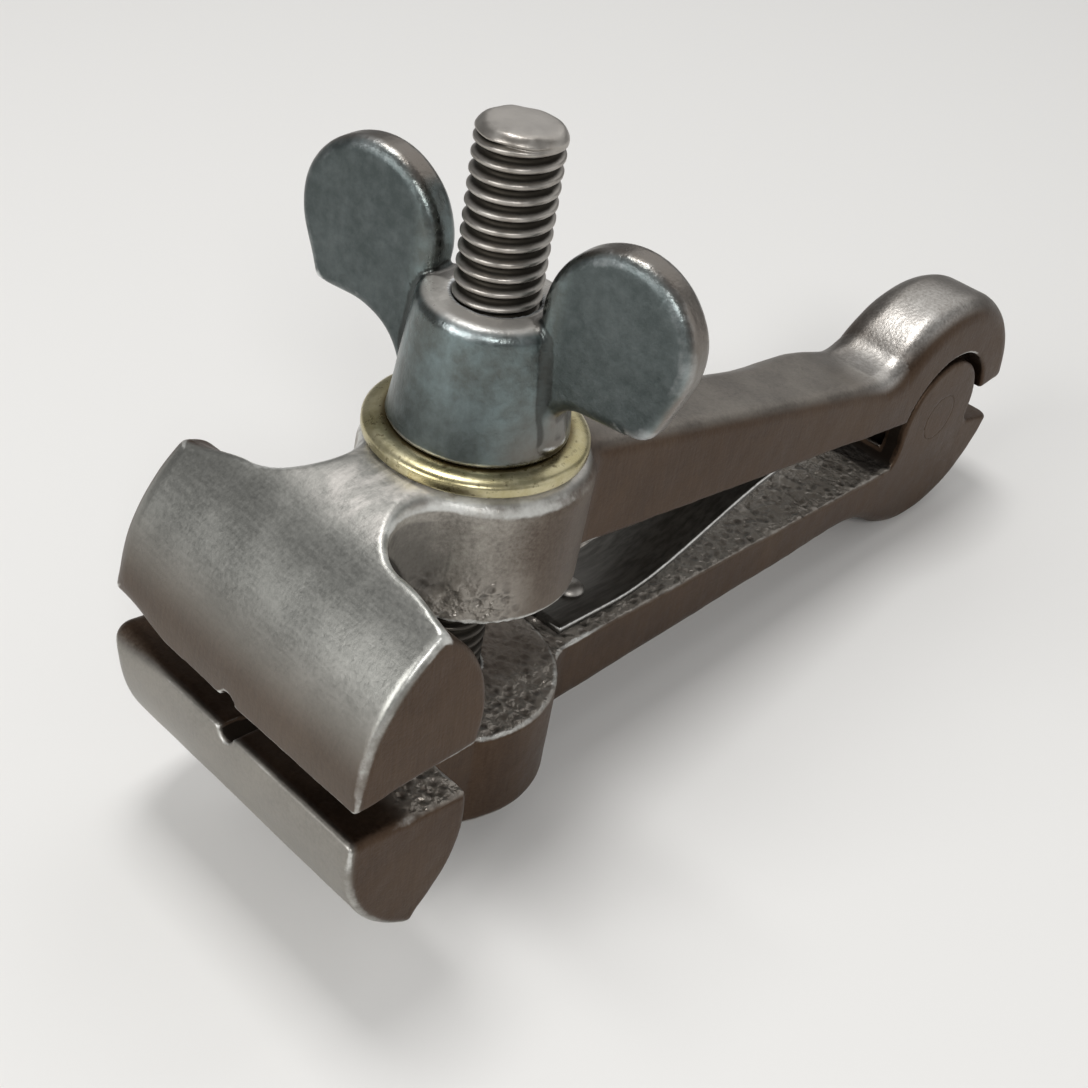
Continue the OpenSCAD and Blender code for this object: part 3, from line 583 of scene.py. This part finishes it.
# The screw: a turned head, a square neck with its corners off, a shank whose radius dips along a right-hand
# helix, and a bevelled top that is a little hammered
def makeScrew():
    s, sides = screwSizes, screwSizes["sides"]
    a = np.arange(sides) * 2 * math.pi / sides
    square = s["neckHalf"] / np.maximum(np.abs(np.cos(a)), np.abs(np.sin(a)))
    square = np.minimum(square, s["neckCorner"])
    headTop = s["headZ"] + s["headT"]
    headZ = np.array([s["headZ"], s["headZ"] + 0.18, s["headZ"] + 0.6, headTop - 0.3, headTop, headTop])
    headR = np.append(s["head"] - np.array([0.9, 0.3, 0, 0, 0.3]), s["neckHalf"] * 1.5)
    z = np.arange(s["threadFrom"], s["top"] - s["bevel"], s["pitch"] / s["stepsEach"])
    phase = (z[:, None] / s["pitch"] - a / (2 * math.pi)) % 1
    dip = 1 - np.abs(2 * phase - 1)
    ends = easeStep(0, 0.2, s["top"] - s["bevel"] - z) * easeStep(0, 1.5, z - s["threadFrom"])
    groove = (0.86 * easeStep(0.14, 0.84, dip) + 0.14 * dip ** 2) * ends[:, None]
    topZ = s["top"] - s["bevel"] * np.array([0.95, 0.8, 0.55, 0.32, 0.17, 0.1, 0.04])
    topR = s["radius"] - np.array([0.03, 0.1, 0.28, 0.5, 0.72, 1.1, 2.1])
    height = np.concatenate([headZ, [headTop, s["neckZ"], s["neckZ"]], z, topZ])
    lower = [np.tile(headR[:, None], sides), np.tile(square, (2, 1)), np.full((1, sides), s["radius"])]
    radius = np.concatenate([*lower, s["radius"] - s["depth"] * groove, np.tile(topR[:, None], sides)])
    dark = np.zeros_like(radius)
    threadRow = len(headZ) + 3
    dark[threadRow:threadRow + len(z)] = groove
    p = np.concatenate([ringPoints(radius, height, sides), [[0, 0, s["headZ"]], [0, 0, s["top"]]]])
    struck = easeStep(s["top"] - 2.2, s["top"] - 0.6, p[:, 2])
    p[:, 2] -= s["struck"] * struck * (1 + waves(p, s["struckSize"], s["seed"], 8))
    onCap = easeStep(s["top"] - 0.5, s["top"] - 0.2, p[:, 2])
    # Below the upper leg the thread is turned black: grease and painted shade
    masks = {"groove": np.append(dark.ravel(), [0, 0]), "below": 1 - easeStep(4, 9, p[:, 2]),
             "cap": onCap * (1 - easeStep(2.6, 3.4, np.hypot(p[:, 0], p[:, 1])))}
    faces = [tubeQuads(len(height), sides, False), endFans(radius.size, sides)]
    return putMesh("threadedScrew", layDown(p), faces, masks)


screwPiece = makeScrew()

washerSizes = {"bore": 4.27, "boreEdge": 0.15, "rim": 10.65, "thick": 1.7, "foot": 22.7529, "edge": 0.4,
               "crown": 1.5, "crownZ": 0.75, "nutFoot": 8.6, "sides": 160}


# The washer: a ring turned about the screw, with a small round under its rim and a broad one over it
def makeWasher():
    w = washerSizes
    t = np.linspace(0, math.pi / 2, 7)
    lowR, lowZ = w["rim"] - w["edge"] * (1 - np.cos(t)), w["edge"] * (1 - np.sin(t))
    topR, topZ = w["rim"] - w["crown"] * (1 - np.cos(t)), w["thick"] - w["crownZ"] * (1 - np.sin(t))
    bore = np.array([w["bore"], w["bore"] + w["boreEdge"]])
    underNut = w["nutFoot"] + np.array([0.4, 0.1, -0.4])
    radius = np.concatenate([bore, [(w["bore"] + w["rim"]) / 2], lowR[::-1], topR, underNut, bore[::-1]])
    height = np.concatenate([[w["boreEdge"], 0, 0], lowZ[::-1], topZ, [w["thick"]] * 4,
                             [w["thick"] - w["boreEdge"]]])
    # A darker ring round the nut's foot, on the top of the washer
    soiled = (1 - easeStep(w["nutFoot"], w["nutFoot"] + 0.8, radius)) * (height > w["thick"] / 2)
    p = ringPoints(radius, height + w["foot"], w["sides"])
    return putMesh("brassWasher", layDown(p), [tubeQuads(len(radius), w["sides"], True)],
                   {"soiled": np.repeat(soiled, w["sides"])})


washerPiece = makeWasher()

springSizes = {"width": 8.6, "thick": 0.9, "edge": 0.22, "start": 13.2, "rise": 21.6, "end": 53.0,
               "low": -4.55, "touch": 0.06}


# The leaf spring: a flat section with round corners carried along a line that lies on the lower arm and
# eases up to the upper one
def makeSpring():
    s, u = springSizes, upperLeg
    slope = (u["innerTip"] - u["innerRoot"]) / (lying["hingeX"] - bothLegs["earR"] - u["bossR"])
    under = u["innerRoot"] + slope * (s["end"] - u["bossR"])
    c, d = cosSin(lying["open"])
    high = under * c - (s["end"] - lying["hingeX"]) * d - s["thick"] / 2 - s["touch"]
    x = np.concatenate([np.linspace(s["start"], s["rise"], 14), np.linspace(s["rise"], s["end"], 60)[1:]])
    z = s["low"] + (high - s["low"]) * easeStep(s["rise"], s["end"], x)
    lean = np.arctan(np.gradient(z, x))
    e, halfW, halfT = s["edge"], s["width"] / 2 - s["edge"], s["thick"] / 2 - s["edge"]
    angle = np.linspace(0, math.pi / 2, 5) + np.arange(4)[:, None] * math.pi / 2  # a quarter at each corner
    cy = (np.array([[1], [-1], [-1], [1]]) * halfW + e * np.cos(angle)).ravel()
    cz = (np.array([[1], [1], [-1], [-1]]) * halfT + e * np.sin(angle)).ravel()
    p = np.stack([x[:, None] - np.outer(np.sin(lean), cz), np.tile(cy, (len(x), 1)),
                  z[:, None] + np.outer(np.cos(lean), cz)], 2).reshape(-1, 3)
    tips = np.array([[x[0], 0, z[0]], [x[-1], 0, z[-1]]])
    faces = [tubeQuads(len(x), len(cy), False), endFans(len(p), len(cy))]
    # Bright only on the upper edges: wear, and a painted highlight
    worn = np.tile(easeStep(halfW, halfW + e, np.abs(cy)) * (cz > 0), len(x))
    masks = {"worn": np.append(worn, [0, 0])}
    return putMesh("leafSpring", layDown(np.concatenate([p, tips])), faces, masks)


springPiece = makeSpring()


# A profile of radius and height turned about the vertical through x, closed at both ends on the axis
def turned(name, radius, height, x, sides, place):
    p = np.concatenate([ringPoints(radius, height, sides), [[0, 0, height[0]], [0, 0, height[-1]]]])
    faces = [tubeQuads(len(height), sides, False), endFans(len(height) * sides, sides)]
    return putMesh(name, place(p + (x, 0, 0)), faces, {})


rivetSizes = {"x": 19.0, "shank": 1.0, "head": 1.7, "rise": 1.0, "seat": -4.1, "foot": -13.6, "sides": 40}


# The spring's rivet: a straight shank under a head that is a quarter of an ellipse in section
def makeRivet():
    r = rivetSizes
    t = np.linspace(0, 0.96, 9) * math.pi / 2
    radius = np.concatenate([[r["shank"]] * 2, r["head"] * np.cos(t)])
    height = np.concatenate([[r["foot"], r["seat"]], r["seat"] + r["rise"] * np.sin(t)])
    return turned("springRivet", radius, height, r["x"], r["sides"], layDown)


rivetPiece = makeRivet()

pinSizes = {"radius": 2.985, "flare": 3.2, "flareT": 0.3, "half": 5.972, "sides": 48}


# Laid from upright to across the vise at the hinge
def acrossHinge(p):
    return layDown(np.stack([lying["hingeX"] + p[:, 0], -p[:, 2], p[:, 1]], 1))


# The hinge pin: turned upright with its ends spread into the ears, then laid across
def makePin():
    s = pinSizes
    radius = np.array([s["flare"] - 0.4, s["flare"] - 0.08, s["flare"], s["radius"]])
    height = s["half"] - np.array([0, 0, 0.03, s["flareT"]])
    return turned("hingePin", np.append(radius, radius[::-1]), np.append(-height, height[::-1]), 0,
                  s["sides"], acrossHinge)


pinPiece = makePin()

riders = ((upperPiece, "upper", "upper_leg", "forged_steel"),
          (lowerPiece, "lower", "lower_leg", "forged_steel"),
          (nutPiece, "nut", "wing_nut", "nut_steel"),
          (screwPiece, "lower", "screw", "screw_steel"),
          (washerPiece, "washer", "washer", "brass"),
          (rivetPiece, "lower", "spring_rivet", "pin_steel"),
          (pinPiece, "lower", "hinge_pin", "pin_steel"))
for piece, body, node, slotName in riders:
    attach(piece, body)
    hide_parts(node)
springLine = layDown(np.array([[springSizes[k], 0, springSizes["low"]] for k in ("rise", "end")]))
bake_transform(springPiece)
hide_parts("leaf_spring")
print("pieces ride on their bodies")


# A shader socket that can be reckoned with: the operators add Math nodes, and make adds any other node
class Wire:
    def __init__(self, tree, socket):
        self.tree, self.socket = tree, socket

    # A node of the kind given, with its settings, its sockets' values or links, and the output asked for
    def make(self, kind, settings, sockets, out=0):
        node = self.tree.nodes.new(kind)
        for key, value in settings.items():
            setattr(node, key, value)
        for key, value in sockets.items():
            if isinstance(value, Wire):
                self.tree.links.new(value.socket, node.inputs[key])
            else:
                node.inputs[key].default_value = value
        return Wire(self.tree, node.outputs[out])

    def reckon(self, operation, *values):
        return self.make("ShaderNodeMath", {"operation": operation}, dict(enumerate(values)))

    def __add__(self, other):
        return self.reckon("ADD", self, other)

    def __sub__(self, other):
        return self.reckon("SUBTRACT", self, other)

    def __rsub__(self, other):
        return self.reckon("SUBTRACT", other, self)

    def __mul__(self, other):
        return self.reckon("MULTIPLY", self, other)

    __radd__, __rmul__ = __add__, __mul__

    # Held between 0 and 1
    def limit(self):
        return self.make("ShaderNodeClamp", {}, {0: self})

    # 0 below low and 1 above high, with an even S between
    def ease(self, low, high):
        smooth = {"interpolation_type": "SMOOTHSTEP"}
        return self.make("ShaderNodeMapRange", smooth, {0: self, 1: low, 2: high})

    # From colour a to colour b by this wire
    def tint(self, a, b):
        first, second = [v if isinstance(v, Wire) else (*v, 1) for v in (a, b)]
        return self.make("ShaderNodeMix", {"data_type": "RGBA"}, {0: self, 6: first, 7: second}, 2)

    # Noise at this wire's coordinates: its scale, octaves, their strength and twist
    def noise(self, scale, detail=4, rough=0.55, twist=0.0):
        return self.make("ShaderNodeTexNoise", {}, {"Vector": self, "Scale": scale, "Detail": detail,
                                                    "Roughness": rough, "Distortion": twist})

    # These coordinates turned and scaled, which draws a pattern out
    def stretched(self, scale, turn=(0, 0, 0)):
        return self.make("ShaderNodeMapping", {}, {"Vector": self, "Scale": scale, "Rotation": turn})


# A new material, its shader, a wire of Object coordinates, and a call that reads a mask
def newFinish(name, constants):
    finish = bpy.data.materials.new(name)
    finish.use_nodes = True
    tree = finish.node_tree
    shader = tree.nodes["Principled BSDF"]
    for key, value in constants.items():
        shader.inputs[key].default_value = value
    start = Wire(tree, None)
    place = start.make("ShaderNodeTexCoord", {}, {}, 3)
    return (finish, shader, place,
            lambda mask: start.make("ShaderNodeAttribute", {"attribute_name": mask}, {}, 2))


# Wires joined to the shader's sockets, with the height in metres bumped into the normal
def joinFinish(shader, height, sockets):
    bump = height.make("ShaderNodeBump", {}, {"Strength": 1.0, "Distance": 1.0, "Height": height})
    for key, wire in {**sockets, "Normal": bump}.items():
        height.tree.links.new(wire.socket, shader.inputs[key])


# The dark colour serves dirt in pits and painted shade in corners; the rubbed colour carries a painted
# sheen, the polished one a painted highlight
forging = {"patina": (0.062, 0.039, 0.026), "patinaPale": (0.112, 0.076, 0.052),
           "filed": (0.30, 0.30, 0.277), "filedPale": (0.44, 0.435, 0.405),
           "rubbed": (0.62, 0.59, 0.55), "polished": (0.56, 0.54, 0.51), "bright": (0.60, 0.60, 0.57),
           "grey": (0.45, 0.425, 0.375), "scale": (0.36, 0.33, 0.29), "dirt": (0.024, 0.019, 0.015)}


# Forged steel: brown patina mottled by noise, paler and smoother where filed, grey where dull, scratched
# pale with a painted sheen where rubbed, paler with a painted highlight where polished, bright on worn
# edges and in a painted highlight along the boss's rim, dark with dirt in pits and with dirt and painted
# shade in corners, with file marks and craters bumped in
def forgedFinish():
    finish, shader, place, mask = newFinish("forgedSteel", {})
    f = forging
    mottle = place.noise(140, 6, 0.6).ease(0.35, 0.68)
    clouds = place.noise(38, 4, 0.6).ease(0.3, 0.75)
    speck = place.noise(1500, 3, 0.6)
    grit = place.noise(2600, 3, 0.65)
    grain = place.stretched((900, 130, 900)).noise(3.0, 3, 0.6)
    strokes = place.stretched((1000, 1000, 110), (0.1, 0.12, 0)).noise(2.4, 3, 0.6)
    scratch = place.stretched((130, 230, 130), (0, 0, 0.5)).noise(1.6, 6, 0.72, 0.4).ease(0.36, 0.66)
    craters = place.make("ShaderNodeTexVoronoi", {"feature": "SMOOTH_F1"},
                         {"Vector": place, "Scale": 900.0, "Smoothness": 0.3}).ease(0.1, 0.6)
    filed, pitted = mask("filed"), mask("pitted")
    chips = 0.3 + place.noise(210, 5, 0.65).ease(0.36, 0.6) * 0.7
    # Worn: bright edge wear, and along the boss's rim a painted highlight
    worn = (mask("worn") + (speck - 0.5) * 0.4 + (mottle - 0.5) * 0.25).ease(0.45, 1.0) * chips
    # Dark in hollows and corners with dirt and painted shade, and inside the fork with painted shade
    sheltered = (mask("sheltered") + (mottle - 0.5) * 0.3).ease(0.1, 0.7)
    # Rubbed: pale scratches, also a painted sheen on the neck's top
    rubbed = (mask("rubbed") * (0.35 + scratch * 0.9)).limit()
    dull = mask("dull") * (0.55 + (grit - 0.5) * 1.2 + (mottle - 0.5) * 0.5)
    # Polished: paler and smoother, a painted highlight on the hinge's shoulder
    polished = mask("polished") * (0.5 + mottle * 0.35 + (grit - 0.5) * 1.2).limit()
    deep = place.noise(420, 3, 0.6).ease(0.34, 0.6) * pitted
    old = (mottle * 0.4 + clouds * 0.3 + (grit - 0.5) * 1.1 + (strokes - 0.5) * 0.7 + 0.1).limit()
    old = old.tint(f["patina"], f["patinaPale"])
    clean = (clouds * 0.35 + (grain - 0.5) * 0.6 + (grit - 0.5) * 0.7 + mottle * 0.15).limit()
    clean = clean.tint(f["filed"], f["filedPale"])
    colour = dull.limit().tint(filed.tint(old, clean), f["grey"])
    colour = rubbed.tint(polished.tint(colour, f["polished"]), f["rubbed"])
    colour = (pitted * (0.35 + craters * 0.5)).limit().tint(colour, f["scale"])
    colour = ((1 - craters) * deep * 0.45).limit().tint(colour, f["dirt"])
    colour = (sheltered * 0.9).tint(worn.tint(colour, f["bright"]), f["dirt"])
    rough = 0.48 - filed * 0.08 - worn * 0.1 - pitted * 0.14 - polished * 0.13 + sheltered * 0.3
    rough = rough + (mottle - 0.5) * 0.08 + (grain - 0.5) * 0.12 + (grit - 0.5) * 0.2
    height = (grit * 0.00003 + strokes * 0.00003 + mottle * 0.00003) * (1 - filed * 0.7)
    height = speck * 0.000014 + height + grain * 0.000012 * filed + craters * deep * 0.00028
    bare = (1 - worn * 0.55 - rubbed * 0.5 - pitted * 0.25 - mask("dull") * 0.55).limit()
    joinFinish(shader, height, {"Base Color": colour, "Roughness": rough.limit(), "Metallic": bare})
    return finish


# The dark colour is dirt and painted shade at the nut's foot and in its corners
nutColours = {"blued": (0.073, 0.087, 0.086), "bluedPale": (0.150, 0.170, 0.170),
              "cone": (0.122, 0.135, 0.128), "conePale": (0.24, 0.31, 0.318), "rim": (0.21, 0.182, 0.158),
              "top": (0.42, 0.40, 0.37), "bright": (0.66, 0.68, 0.68), "dirt": (0.022, 0.018, 0.015)}


# Wing nut: dark blue-grey steel with spots and fine file marks, brown on the rims, dark at its foot and in
# its corners with dirt and painted shade, pale on top, bright along its edges
def nutFinish():
    finish, shader, place, mask = newFinish("bluedNutSteel", {})
    c = nutColours
    mottle = place.noise(170, 5, 0.6).ease(0.35, 0.7)
    speck = place.noise(1700, 3, 0.6)
    spots = place.noise(820, 4, 0.65)
    marks = place.stretched((700, 700, 90), (0.2, 0.1, 0)).noise(3.0, 3, 0.6)
    worn = (mask("worn") + (speck - 0.5) * 0.25 + (mottle - 0.5) * 0.2).ease(0.35, 1.1)
    # Dirt and painted shade at the foot and in hollows
    sheltered = (mask("sheltered") + (mottle - 0.5) * 0.25).ease(0.1, 0.8)
    flat, top = mask("flat"), mask("top")
    wing = (mottle * 0.35 + (marks - 0.5) * 0.25 + (spots - 0.5) * 1.3 + 0.1).limit()
    cone = (mottle * 0.55 + (marks - 0.5) * 0.3 + (spots - 0.5) * 1.0 + 0.05).limit()
    colour = flat.tint(cone.tint(c["cone"], c["conePale"]), wing.tint(c["blued"], c["bluedPale"]))
    colour = top.tint((mask("rim") * 0.85).tint(colour, c["rim"]), c["top"])
    colour = (sheltered * 0.6).tint(worn.tint(colour, c["bright"]), c["dirt"])
    rough = 0.33 - worn * 0.05 + flat * 0.14 + (marks - 0.5) * 0.16 + (mottle - 0.5) * 0.1
    joinFinish(shader, speck * 0.00002 + marks * 0.000012 + mottle * 0.00003 + spots * 0.00007,
               {"Base Color": colour, "Roughness": rough.limit(), "Metallic": 1 - top * 0.5})
    return finish


threadColours = {"crest": (0.31, 0.285, 0.255), "crestPale": (0.50, 0.475, 0.44),
                 "root": (0.042, 0.037, 0.030), "cap": (0.44, 0.415, 0.385)}


# Screw: bright worn crests over dark grooves, black below the upper leg with grease and painted shade, and
# a pale cap
def screwFinish():
    finish, shader, place, mask = newFinish("screwSteel", {"Metallic": 1.0})
    c = threadColours
    mottle = place.noise(260, 5, 0.6).ease(0.3, 0.7)
    speck = place.noise(1900, 3, 0.6)
    deep = (mask("groove") + (mottle - 0.5) * 0.25).ease(0.15, 0.7)
    cap = mask("cap")
    colour = cap.tint(deep.tint(mottle.tint(c["crest"], c["crestPale"]), c["root"]), c["cap"])
    # Grease and painted shade below the upper leg
    colour = (mask("below") * 0.9).tint(colour, c["root"])
    rough = (0.38 + deep * 0.2 + cap * 0.14 + (mottle - 0.5) * 0.15).limit()
    joinFinish(shader, speck * 0.000015 + mottle * 0.00002, {"Base Color": colour, "Roughness": rough})
    return finish


brassColours = {"brass": (0.42, 0.37, 0.200), "pale": (0.68, 0.63, 0.43), "tarnish": (0.12, 0.09, 0.038)}


# Brass: pale and yellow clouds under specks of tarnish, darker in a ring round the nut's foot
def brassFinish():
    finish, shader, place, mask = newFinish("washerBrass", {"Metallic": 1.0})
    c = brassColours
    clouds = place.noise(190, 5, 0.6).ease(0.35, 0.7)
    speck = place.noise(1500, 4, 0.6)
    colour = (clouds * 0.7 + (speck - 0.5)).limit().tint(c["brass"], c["pale"])
    colour = (speck.ease(0.56, 0.7) * 0.7 + mask("soiled")).limit().tint(colour, c["tarnish"])
    rough = (0.28 + clouds * 0.08 + (speck - 0.5) * 0.2).limit()
    joinFinish(shader, speck * 0.000012 + clouds * 0.000015, {"Base Color": colour, "Roughness": rough})
    return finish


springColours = {"blued": (0.046, 0.042, 0.036), "pale": (0.090, 0.085, 0.075),
                 "bright": (0.72, 0.72, 0.70)}


# Spring: dark rolled strip with streaks along it, bright at its upper edges with wear and a painted
# highlight
def springFinish():
    finish, shader, place, mask = newFinish("springSteel", {"Metallic": 0.6})
    c = springColours
    streak = place.stretched((120, 900, 900)).noise(2.0, 4, 0.6)
    speck = place.noise(1600, 3, 0.6)
    worn = (mask("worn") + (speck - 0.5) * 0.6).ease(0.5, 1.1)
    colour = worn.tint(streak.ease(0.3, 0.7).tint(c["blued"], c["pale"]), c["bright"])
    rough = (0.36 + (streak - 0.5) * 0.25).limit()
    joinFinish(shader, speck * 0.00001 + streak * 0.000012, {"Base Color": colour, "Roughness": rough})
    return finish


rivetColours = {"steel": (0.34, 0.32, 0.29), "pale": (0.55, 0.53, 0.50)}


# The spring's rivet: mottled bright steel, finely rough
def rivetFinish():
    finish, shader, place = newFinish("pinSteel", {"Metallic": 1.0})[:3]
    mottle = place.noise(220, 5, 0.6)
    speck = place.noise(1500, 3, 0.6)
    colour = mottle.ease(0.35, 0.65).tint(rivetColours["steel"], rivetColours["pale"])
    joinFinish(shader, speck * 0.000015, {"Base Color": colour, "Roughness": (0.34 + speck * 0.2).limit()})
    return finish


steel = forgedFinish()  # the pin is filed flush with the leg and looks as it does
for piece, finish in ((upperPiece, steel), (lowerPiece, steel), (nutPiece, nutFinish()),
                      (screwPiece, screwFinish()), (washerPiece, brassFinish()),
                      (springPiece, springFinish()), (rivetPiece, rivetFinish()), (pinPiece, steel)):
    piece.data.materials.append(finish)
print("finishes on")

floorLook = {"colour": (0.78, 0.77, 0.75), "roughness": 0.75, "size": 3.0}


# A plain pale floor: one square of the size given
def makeFloor():
    h = floorLook["size"] / 2
    corners = np.array([[-h, -h, 0], [h, -h, 0], [h, h, 0], [-h, h, 0]])
    floor = putMesh("floor", corners, [np.array([[0, 1, 2, 3]])], {})
    constants = {"Base Color": (*floorLook["colour"], 1), "Roughness": floorLook["roughness"]}
    floor.data.materials.append(newFinish("paleFloor", constants)[0])


makeFloor()

# Place and size in metres, and power in watts
lamps = {"window": ((-0.60, 0.06, 0.33), 0.34, 2.0), "near": ((-0.42, -0.46, 0.50), 0.18, 1.55),
         "over": ((0.00, 0.15, 0.74), 0.22, 2.2), "back": ((0.55, 0.16, 0.58), 0.70, 1.15),
         "fill": ((0.50, -0.62, 0.26), 0.70, 0.95)}
lampsAim, skyStrength = (0, 0, 0.03), 0.23


# Soft square lamps that look at the middle of the vise, under an even white sky
def makeLamps():
    for name, (place, size, power) in lamps.items():
        data = bpy.data.lights.new(name, "AREA")
        data.size, data.energy = size, power
        lamp = bpy.data.objects.new(name, data)
        bpy.context.scene.collection.objects.link(lamp)
        lamp.location = place
        lamp.rotation_mode = "QUATERNION"
        lamp.rotation_quaternion = (Vector(lampsAim) - Vector(place)).to_track_quat("-Z", "Y")
    world = bpy.data.worlds.new("studio")
    bpy.context.scene.world = world
    world.use_nodes = True
    sky = world.node_tree.nodes["Background"]
    sky.inputs["Color"].default_value = (1, 1, 1, 1)
    sky.inputs["Strength"].default_value = skyStrength


makeLamps()

# Place and aim in metres, roll in degrees, lens and sensor in millimetres
sight = {"place": (-0.12361, -0.08366, 0.12756), "aim": (-0.00852, 0.01176, 0.0103), "roll": 8.56,
         "lens": 52.94, "sensor": 36.0, "clip": (0.01, 20)}


# The camera: level is square to its line of sight and to the vertical, right is level turned by the roll,
# and up is square to right and to the line of sight
def makeCamera():
    data = bpy.data.cameras.new("sight")
    data.lens, data.sensor_width, data.sensor_fit = sight["lens"], sight["sensor"], "HORIZONTAL"
    data.clip_start, data.clip_end = sight["clip"]
    camera = bpy.data.objects.new("sight", data)
    bpy.context.scene.collection.objects.link(camera)
    place = Vector(sight["place"])
    ahead = (Vector(sight["aim"]) - place).normalized()
    level = ahead.cross(Vector((0, 0, 1))).normalized()
    c, s = cosSin(sight["roll"])
    right = level * c + level.cross(ahead) * s
    turn = Matrix((right, right.cross(ahead), -ahead)).transposed().to_4x4()
    camera.matrix_world = Matrix.Translation(place) @ turn
    bpy.context.scene.camera = camera


makeCamera()
bpy.context.scene.view_settings.view_transform = "Standard"
print("stage, lamps and camera set")
